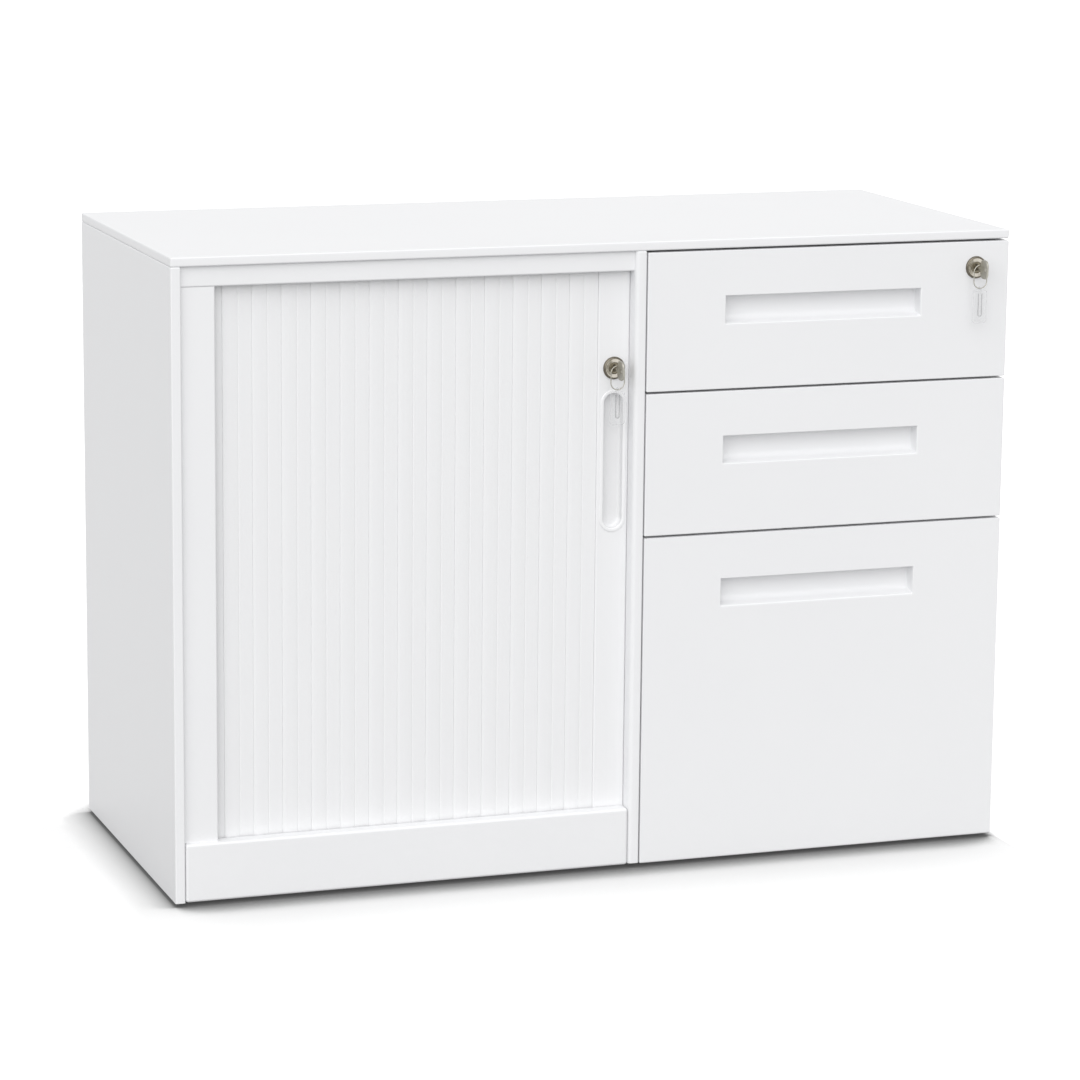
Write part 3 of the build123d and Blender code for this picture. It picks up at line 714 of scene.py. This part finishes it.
# Locks: two cam locks, one in the lead slat and one in the top drawer's front, each with its key in.
# The turned nickel bezel is domed round the plug, and the outer edge of the dome is painted dark as a
# painted reflection.
# The plug's plating is darkened, a painted dark reflection. The key has a flat bow, and its neck is
# painted dark as painted shade; on the neck hangs an oblong ring of round wire with a clear moulded tag.
flange_radius = 13.0 * mm
flange_proud = 2.5 * mm
dome_bend = 2.3 * mm
painted_dark_share = 0.9
bore_radius = 6.56 * mm
bore_bend = 0.5 * mm
plug_edge = 0.6 * mm
keyway_half = 1.3 * mm
keyway_height = 8.4 * mm
keyway_depth = 15.2 * mm
keyway_overrun = 2 * mm
key_sheet = 2.2 * mm
key_edge = 0.4 * mm
bow_length = 18.0 * mm
bow_corner = 6.8 * mm
bow_hole_inset = 5.0 * mm
bow_hole_radius = 2.5 * mm
bow_hole_length = 3 * key_sheet
neck_radius = 3.0 * mm
neck_length = 12.0 * mm
blade_height = 8.0 * mm
blade_lap = 1 * mm
ring_wire = 0.6 * mm
ring_sides = 12
ring_steps = 56
ring_merge = 0.01 * mm
tag_corner = 3.0 * mm
tag_lug = 8.0 * mm
tag_lug_half = 1 * mm
tag_thickness = 2.4 * mm
tag_edge = 0.4 * mm
tag_hole_radius = 1.0 * mm
tag_hole_length = 4 * mm
tag_groove_half = 2.6 * mm
tag_groove_width = 0.9 * mm
tag_groove_depth = 0.8 * mm
tag_groove_shares = (0.10, 0.74)
groove_wall_share = 0.9
groove_floor_slack = tag_edge / 4
small_sides = 32
bright_pale = (0.70, 0.67, 0.60, 1.0)
bright_deep = (0.52, 0.48, 0.41, 1.0)
bright_rough = 0.16
painted_dark_pale = (0.20, 0.18, 0.145, 1.0)
painted_dark_deep = (0.10, 0.088, 0.068, 1.0)
painted_dark_rough = 0.22
plug_painted_pale = (0.33, 0.295, 0.22, 1.0)
plug_painted_deep = (0.20, 0.175, 0.125, 1.0)
plug_rough = 0.30
key_pale = (0.50, 0.485, 0.43, 1.0)
key_deep = (0.34, 0.33, 0.29, 1.0)
key_rough = 0.24
nickel_hazes = 160.0
nickel_marks = 2400.0
nickel_haze_rough = 0.14
nickel_mark_depth = 0.02 * mm
nickel_mark_strength = 0.3
tag_pale = (0.80, 0.81, 0.82, 1.0)
tag_deep = (0.66, 0.67, 0.68, 1.0)
tag_body = 0.07
groove_shade_pale = (0.34, 0.34, 0.35, 1.0)
groove_shade_deep = (0.24, 0.24, 0.25, 1.0)
groove_shade_body = 0.30
clear_swirls = 140.0
clear_rough = 0.05
clear_swirl_rough = 0.08
clear_swirl_body = 0.05
clear_slant_reflection = 0.7
clear_slant_blend = 0.5
clear_index = 1.49


def nickel_plate(name, pale, deep, base_rough):
    """Plated metal with fine turning marks and a faint warm haze."""
    plate, shader, place = new_finish(name)
    haze = noise(place, nickel_hazes, detail=3.0)
    marks = noise(place, nickel_marks, detail=1.0)
    colour = blend_colours(place, haze, deep, pale)
    rough = base_rough + nickel_haze_rough * haze
    lay_finish(shader, colour, rough, dent(place, marks, nickel_mark_depth, nickel_mark_strength))
    shader.inputs["Metallic"].default_value = 1.0
    return plate


nickel_bright = nickel_plate("nickel_bright", bright_pale, bright_deep, bright_rough)
nickel_painted_shade_and_reflection = nickel_plate("nickel_painted_shade_and_reflection", painted_dark_pale, painted_dark_deep, painted_dark_rough)
nickel_plug_painted_reflection = nickel_plate("nickel_plug_painted_reflection", plug_painted_pale, plug_painted_deep, plug_rough)
nickel_key = nickel_plate("nickel_key", key_pale, key_deep, key_rough)


def clear_plastic(name, pale, deep, body):
    """Clear moulded plastic, with a grey that shows more where it is seen on the slant: a painted
    reflection.
    """
    clear, shader, place = new_finish(name)
    swirl = noise(place, clear_swirls)
    slant = place.node("ShaderNodeLayerWeight", {}, {"Blend": clear_slant_blend}, "Facing")
    blend_colours(place, swirl, deep, pale).feeds(shader.inputs["Base Color"])
    (clear_rough + clear_swirl_rough * swirl).feeds(shader.inputs["Roughness"])
    seen_body_and_reflection = body + clear_swirl_body * swirl + clear_slant_reflection * slant * slant
    seen_body_and_reflection.feeds(shader.inputs["Alpha"])
    shader.inputs["IOR"].default_value = clear_index
    return clear


clear_tag = clear_plastic("clear_tag", tag_pale, tag_deep, tag_body)
# The groove's finish is a dark grey: painted shade.
tag_groove = clear_plastic("tag_groove", groove_shade_pale, groove_shade_deep, groove_shade_body)


def weld(piece, other):
    """Joins another closed block to a piece."""
    apply_modifier(piece, "BOOLEAN", operation="UNION", solver="EXACT", object=other)
    bpy.data.objects.remove(other)


def turn_bezel(bay):
    """The lock's housing: a domed flange, a barrel behind it and a bore through both."""
    low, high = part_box(f"{bay}_lock_housing")
    middle = (low + high) / 2
    place = (middle.x, low.y + flange_proud / 2, middle.z)
    bezel = turned_disc(f"{bay}_lock_bezel", place, flange_radius, flange_proud, "Y")
    pick(bezel, "FACE", facing(0, 1, 0))
    bpy.ops.mesh.inset(thickness=flange_radius - barrel_radius)
    push_out(0, high.y - low.y - flange_proud, 0)
    bpy.ops.mesh.inset(thickness=barrel_radius - bore_radius)
    bpy.ops.mesh.delete(type="FACE")
    pick(bezel, "FACE", facing(0, -1, 0))
    bpy.ops.mesh.inset(thickness=flange_radius - bore_radius)
    bpy.ops.mesh.delete(type="FACE")
    pick(bezel, "EDGE", lambda edge: edge.is_boundary)
    bpy.ops.mesh.bridge_edge_loops()

    def front_ring(radius):
        def test(edge):
            spot = (edge.verts[0].co + edge.verts[1].co) / 2 - middle
            return at_level(low.y)(edge) and abs(math.hypot(spot.x, spot.z) - radius) < round_slack
        return test

    pick(bezel, "EDGE", front_ring(bore_radius))
    bpy.ops.mesh.bevel(offset=bore_bend, segments=3, affect="EDGES")
    pick(bezel, "EDGE", front_ring(flange_radius))
    bpy.ops.mesh.bevel(offset=dome_bend, segments=6, affect="EDGES")
    shade(bezel)
    return bezel


def turn_plug(bay):
    """The lock's plug, with the slot that takes the key's blade."""
    low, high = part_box(f"{bay}_lock_plug")
    middle = (low + high) / 2
    plug = turned_disc(f"{bay}_lock_core", middle, (high.x - low.x) / 2, high.y - low.y, "Y")
    pick(plug, "EDGE", at_level(low.y))
    bpy.ops.mesh.bevel(offset=plug_edge, segments=3, affect="EDGES")
    near = (middle.x - keyway_half, low.y - keyway_overrun, middle.z - keyway_height / 2)
    far = (middle.x + keyway_half, low.y + keyway_depth, middle.z + keyway_height / 2)
    cut_out(plug, box_piece("keyway", near, far))
    shade(plug)
    return plug


def cut_key(bay):
    """The key: a flat bow with round corners and a hole, a round neck and a blade."""
    low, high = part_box(f"{bay}_key")
    middle = (low + high) / 2
    bow_end = low.y + bow_length
    near = (middle.x - key_sheet / 2, low.y, low.z)
    key = box_piece(f"{bay}_key_blank", near, (middle.x + key_sheet / 2, bow_end, high.z))
    pick(key, "EDGE", lambda edge: abs(edge.verts[0].co.x - edge.verts[1].co.x) > key_sheet / 2)
    bpy.ops.mesh.bevel(offset=bow_corner, segments=7, affect="EDGES")
    pick(key, "EDGE", lambda edge: abs(edge.verts[0].co.x - edge.verts[1].co.x) < key_sheet / 2)
    bpy.ops.mesh.bevel(offset=key_edge, segments=2, affect="EDGES")
    hole_place = (middle.x, low.y + bow_hole_inset, middle.z)
    cut_out(key, turned_disc("hole", hole_place, bow_hole_radius, bow_hole_length, "X", small_sides))
    neck_place = (middle.x, bow_end + neck_length / 2 - key_edge, middle.z)
    neck_reach = neck_length + 2 * key_edge
    weld(key, turned_disc("neck", neck_place, neck_radius, neck_reach, "Y", small_sides))
    blade_start = bow_end + neck_length - blade_lap
    near = (middle.x - key_sheet / 2, blade_start, middle.z - blade_height / 2)
    far = (middle.x + key_sheet / 2, high.y, middle.z + blade_height / 2)
    weld(key, box_piece("blade", near, far))
    shade(key)
    return key


def bend_ring(bay):
    """An oblong ring: round wire bent into a loop and drawn out downwards."""
    low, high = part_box(f"{bay}_key_ring")
    middle = (low + high) / 2
    radius = (high.x - low.x) / 2 - ring_wire
    stretch = (high.z - low.z) - (high.x - low.x)
    clear_bench()
    bpy.ops.mesh.primitive_circle_add(vertices=ring_sides, radius=ring_wire, location=(radius, 0, 0))
    bpy.ops.object.transform_apply(location=True, rotation=True, scale=True)
    ring = bpy.context.object
    ring.name = f"{bay}_wire_ring"
    ring.data.name = ring.name
    loop = {"axis": "Y", "angle": 2 * math.pi, "steps": ring_steps, "render_steps": ring_steps}
    apply_modifier(ring, "SCREW", use_merge_vertices=True, merge_threshold=ring_merge, **loop)
    pick(ring, "VERT", lambda corner: corner.co.z < -ring_wire / 2)
    bpy.ops.transform.translate(value=(0, 0, -stretch))
    bpy.ops.mesh.select_all(action="SELECT")
    bpy.ops.mesh.normals_make_consistent(inside=False)
    bpy.ops.transform.translate(value=middle + Vector((0, 0, stretch / 2)))
    shade(ring)
    return ring


def mould_tag(bay):
    """The clear tag: a plate with round corners, a grooved window for a slip, and a lug for the ring."""
    low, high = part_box(f"{bay}_key_tag")
    middle = (low + high) / 2
    plate_top = high.z - (high.y - low.y)
    front = middle.y - tag_thickness / 2
    far = (high.x, front + tag_thickness, plate_top)
    tag = box_piece(f"{bay}_tag_plate", (low.x, front, low.z), far)
    pick(tag, "EDGE", lambda edge: abs(edge.verts[0].co.y - edge.verts[1].co.y) > tag_thickness / 2)
    bpy.ops.mesh.bevel(offset=tag_corner, segments=6, affect="EDGES")
    pick(tag, "EDGE", lambda edge: abs(edge.verts[0].co.y - edge.verts[1].co.y) < tag_thickness / 2)
    bpy.ops.mesh.bevel(offset=tag_edge, segments=3, affect="EDGES")
    near = (middle.x - tag_lug_half, low.y, high.z - tag_lug)
    lug = box_piece("lug", near, (middle.x + tag_lug_half, high.y, high.z))
    round_edges(lug, tag_edge)
    weld(tag, lug)
    hole_place = (middle.x, middle.y, high.z - (high.y - low.y) / 2)
    cut_out(tag, turned_disc("hole", hole_place, tag_hole_radius, tag_hole_length, "X", small_sides))
    groove_top = plate_top - tag_groove_shares[0] * (plate_top - low.z)
    groove_foot = plate_top - tag_groove_shares[1] * (plate_top - low.z)
    for half, change in ((tag_groove_half, cut_out), (tag_groove_half - tag_groove_width, weld)):
        reach = tag_groove_depth if change is cut_out else 0.0
        near = (middle.x - half, front - reach, groove_foot)
        change(tag, box_piece("window", near, (middle.x + half, front + tag_groove_depth, groove_top)))
        end_place = (middle.x, front + (tag_groove_depth - reach) / 2, groove_foot)
        end_reach = tag_groove_depth + reach
        change(tag, turned_disc("window_end", end_place, half, end_reach, "Y", small_sides))
    shade(tag)
    return tag


def fit_lock(bay, carrier):
    """Makes one lock and hangs its key, ring and tag on it."""
    low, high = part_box(f"{bay}_lock_housing")
    middle = (low + high) / 2
    bezel = turn_bezel(bay)
    settle(bezel, nickel_bright, carrier, "nickel", f"{bay}_lock_housing")
    # The outer edge of the dome is painted dark: a painted reflection of dark surroundings.
    second_finish(bezel, nickel_painted_shade_and_reflection, lambda spot: math.hypot(spot.x - middle.x, spot.z - middle.z)
                  > flange_radius - painted_dark_share * dome_bend)
    # The plug's plating is darkened: a painted dark reflection.
    settle(turn_plug(bay), nickel_plug_painted_reflection, f"{bay}_lock", "nickel", f"{bay}_lock_plug")
    key = cut_key(bay)
    settle(key, nickel_key, f"{bay}_lock", "nickel", f"{bay}_key")
    bow_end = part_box(f"{bay}_key")[0].y + bow_length
    # The key's neck is painted dark: painted shade round the keyway.
    second_finish(key, nickel_painted_shade_and_reflection, lambda spot: spot.y > bow_end)
    settle(bend_ring(bay), nickel_key, f"{bay}_ring", "nickel", f"{bay}_key_ring")
    tag = mould_tag(bay)
    settle(tag, clear_tag, f"{bay}_tag", "clear_plastic", f"{bay}_key_tag")
    tag_low, tag_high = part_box(f"{bay}_key_tag")
    tag_middle = (tag_low + tag_high) / 2
    groove_y = tag_middle.y - tag_thickness / 2 + tag_groove_depth
    groove_front = groove_y - groove_wall_share * tag_groove_depth
    # The groove's walls and floor are painted dark grey: painted shade in the groove.
    second_finish(tag, tag_groove, lambda spot: abs(spot.x - tag_middle.x) < tag_groove_half + tag_edge
                  and groove_front < spot.y < groove_y + groove_floor_slack
                  and tag_low.z + tag_corner < spot.z < tag_high.z - tag_lug)
    coat_nodes(zinc, f"{bay}_lock_cam")


fit_lock("tambour", "tambour_lead")


# Drawers: white folded fronts with a long pull pocket pressed into each, on open steel boxes.
# A front's edges turn back and hem round its rear, and the pocket's floor slopes a little to the front.
# The boxes run on zinc-plated telescopic runners, and the file drawer has two strips for folders.
front_hem = 30 * mm
front_bend = 1.4 * mm
pocket_width = 242 * mm
pocket_height = 32 * mm
pocket_depth = 17 * mm
pocket_slope = 3 * mm
pocket_sweep = 6 * mm
pocket_drop = 52 * mm
pocket_offset = -7.6 * mm
first_inset = 20 * mm


def press_front(bay):
    """One drawer front, with its hem and its pull pocket."""
    low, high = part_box(f"{bay}_front")
    front = box_piece(f"{bay}_face", low, high)
    pick(front, "FACE", facing(0, 1, 0))
    bpy.ops.mesh.inset(thickness=front_hem)
    bpy.ops.mesh.delete(type="FACE")
    pick(front, "FACE", facing(0, -1, 0))
    bpy.ops.mesh.inset(thickness=first_inset)
    middle = (low.x + high.x) / 2 + pocket_offset
    mouth_top = high.z - pocket_drop
    moves = (
        (0, low.x + first_inset, middle - pocket_width / 2),
        (0, high.x - first_inset, middle + pocket_width / 2),
        (2, low.z + first_inset, mouth_top - pocket_height),
        (2, high.z - first_inset, mouth_top),
    )
    for axis, start, end in moves:
        pick(front, "VERT", lambda corner: abs(corner.co[axis] - start) < snap
             and corner.co.y < low.y + snap)
        move = Vector((0, 0, 0))
        move[axis] = end - start
        bpy.ops.transform.translate(value=move)
    pick(front, "FACE", lambda face: facing(0, -1, 0)(face) and all(
        abs(corner.co.x - middle) < pocket_width / 2 + snap for corner in face.verts))
    push_out(0, pocket_depth, 0)
    pick(front, "VERT", lambda corner: abs(corner.co.y - low.y - pocket_depth) < snap
         and abs(corner.co.z - mouth_top + pocket_height) < snap)
    bpy.ops.transform.translate(value=(0, 0, pocket_slope))
    pick(front, "EDGE", both_ends(lambda spot: abs(spot.y - low.y - pocket_depth) < snap
                                  and spot.z < mouth_top - pocket_height / 2))
    bpy.ops.mesh.bevel(offset=pocket_sweep, segments=8, affect="EDGES")
    bend_sheet(front, front_bend, skin)
    return front


for bay in ("top_drawer", "centre_drawer", "file_drawer"):
    front = press_front(bay)
    if bay == "top_drawer":
        bore_for_lock(front, "drawer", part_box("top_drawer_front")[0].y)
    shade(front)
    settle(front, powder_white, bay, "white_steel", f"{bay}_front")
    coat_nodes(powder_white, f"{bay}_box")
    coat_nodes(zinc, f"{bay}_runners", f"{bay}_middle_runners")
coat_nodes(zinc, "cabinet_runners", "hanging_rails", "lock_bar")
fit_lock("drawer", "top_drawer")


# Studio: a wide white floor, an even white surround, and one broad soft lamp from high in front.
# The floor and surround look white. The floor keeps the cabinet's real shadow, and its colour for the
# eye holds a painted shadow as well, dark at the cabinet's foot, running out in a faint tail in front,
# and cut short at the sides and behind. The floor also glows a little for the eye, painted light that
# carries the painted shadow.
floor_span = 60.0
floor_grey = 0.40
floor_rough = 0.9
floor_glow = 0.3
surround_grey = 0.72
lamp_strength = 1.89
lamp_width = math.radians(80)
lamp_way = Vector((-0.222, -0.445, 0.341))
shadow_samples = 16
shadow_reach = 0.075
shadow_floor = 0.42
shadow_bend = 2.2
shadow_gain = 1.44
shadow_dark = 0.15
tail_reach = 0.2
tail_base = 0.15
tail_gain = 0.62
tail_blend = 0.1
tail_end = 0.25
left_reach = 0.05
left_lift = 0.72
left_bend = 0.45
right_reach = 0.012
lens = 134.06
sensor = 36.0
eye_place = Vector((-1.54987, -4.40462, 1.29275))
eye_yaw = math.radians(19.341)
eye_pitch = math.radians(11.389)
eye_roll = math.radians(0.563)


def plain_grey(level):
    """A grey without a tint."""
    return (level, level, level, 1.0)


def seen_share(light_path):
    """One where the eye looks: straight on, in a reflection or through something clear."""
    seen = light_path.sum("MAXIMUM", light_path, light_path.other("Is Glossy Ray"))
    return seen.sum("MAXIMUM", seen, light_path.other("Is Transmission Ray"))


def open_share(place, reach):
    """How open the floor lies, with nothing over it within a reach."""
    settings = {"samples": shadow_samples}
    return place.node("ShaderNodeAmbientOcclusion", settings, {"Distance": reach}, "AO")


def within(share):
    """Keeps a share from nought to one."""
    return share.node("ShaderNodeClamp", {}, {"Value": share})


clear_bench()
bpy.ops.mesh.primitive_plane_add(size=floor_span)
floor = bpy.context.object
floor.name = "studio_floor"
floor_painted_shadow, shader, place = new_finish("floor_painted_shadow")
light_path = place.node("ShaderNodeLightPath", {}, {}, "Is Camera Ray")
floor_x = place.node("ShaderNodeSeparateXYZ", {}, {0: place}, "X")
# The floor's colour for the eye darkens where it lies closed in near the cabinet: a painted shadow,
# lifted by place beside and behind the cabinet.
core = open_share(place, shadow_reach)
core = core.sum("MAXIMUM", (core - shadow_floor) * (1 / (1 - shadow_floor)), 0.0)
core = shadow_gain * core.sum("POWER", core, shadow_bend)
behind = within(floor_x.other("Y") * (1 / tail_end))
tail = behind.sum("MAXIMUM", tail_base + tail_gain * open_share(place, tail_reach), behind)
bright = place.node("ShaderNodeMath", {"operation": "SMOOTH_MIN"}, {0: core, 1: tail, 2: tail_blend})
beside = within((cad_low.x - floor_x) * (1 / left_reach))
bright = bright.sum("MAXIMUM", bright, left_lift * beside.sum("POWER", beside, left_bend))
beside = within((floor_x - cad_high.x) * (1 / right_reach))
bright = bright.sum("MAXIMUM", bright, beside)
seen_painted_shadow = blend_colours(place, bright, plain_grey(shadow_dark), plain_grey(1.0))
colour = blend_colours(place, seen_share(light_path), plain_grey(floor_grey), seen_painted_shadow)
colour.feeds(shader.inputs["Base Color"])
# The floor glows a little for the eye, with the painted shadow in the glow: painted light.
glow = blend_colours(place, light_path, plain_grey(0.0), seen_painted_shadow)
glow.feeds(shader.inputs["Emission Color"])
shader.inputs["Emission Strength"].default_value = floor_glow
shader.inputs["Roughness"].default_value = floor_rough
shader.inputs["Specular IOR Level"].default_value = 0.0
floor.data.materials.append(floor_painted_shadow)

surround = bpy.data.worlds.new("studio_surround")
bpy.context.scene.world = surround
surround.use_nodes = True
tree = surround.node_tree
backdrop = tree.nodes["Background"]
light_path = Wire(tree, tree.nodes.new("ShaderNodeLightPath").outputs["Is Camera Ray"])
seen = seen_share(light_path)
colour = blend_colours(light_path, seen, plain_grey(surround_grey), plain_grey(1.0))
colour.feeds(backdrop.inputs["Color"])
backdrop.inputs["Strength"].default_value = 1.0

lamp = bpy.data.lights.new("soft_lamp", "SUN")
lamp.energy = lamp_strength
lamp.angle = lamp_width
lamp_stand = bpy.data.objects.new("soft_lamp", lamp)
lamp_stand.rotation_euler = lamp_way.to_track_quat("Z", "Y").to_euler()
bpy.context.collection.objects.link(lamp_stand)

view = bpy.data.cameras.new("photo_view")
view.lens = lens
view.sensor_width = sensor
eye = bpy.data.objects.new("photo_view", view)
bpy.context.collection.objects.link(eye)
turn = Matrix.Rotation(-eye_yaw, 4, "Z") @ Matrix.Rotation(math.pi / 2 - eye_pitch, 4, "X")
eye.matrix_world = Matrix.Translation(eye_place) @ turn @ Matrix.Rotation(eye_roll, 4, "Z")
bpy.context.scene.camera = eye
bpy.context.scene.view_settings.view_transform = "Standard"
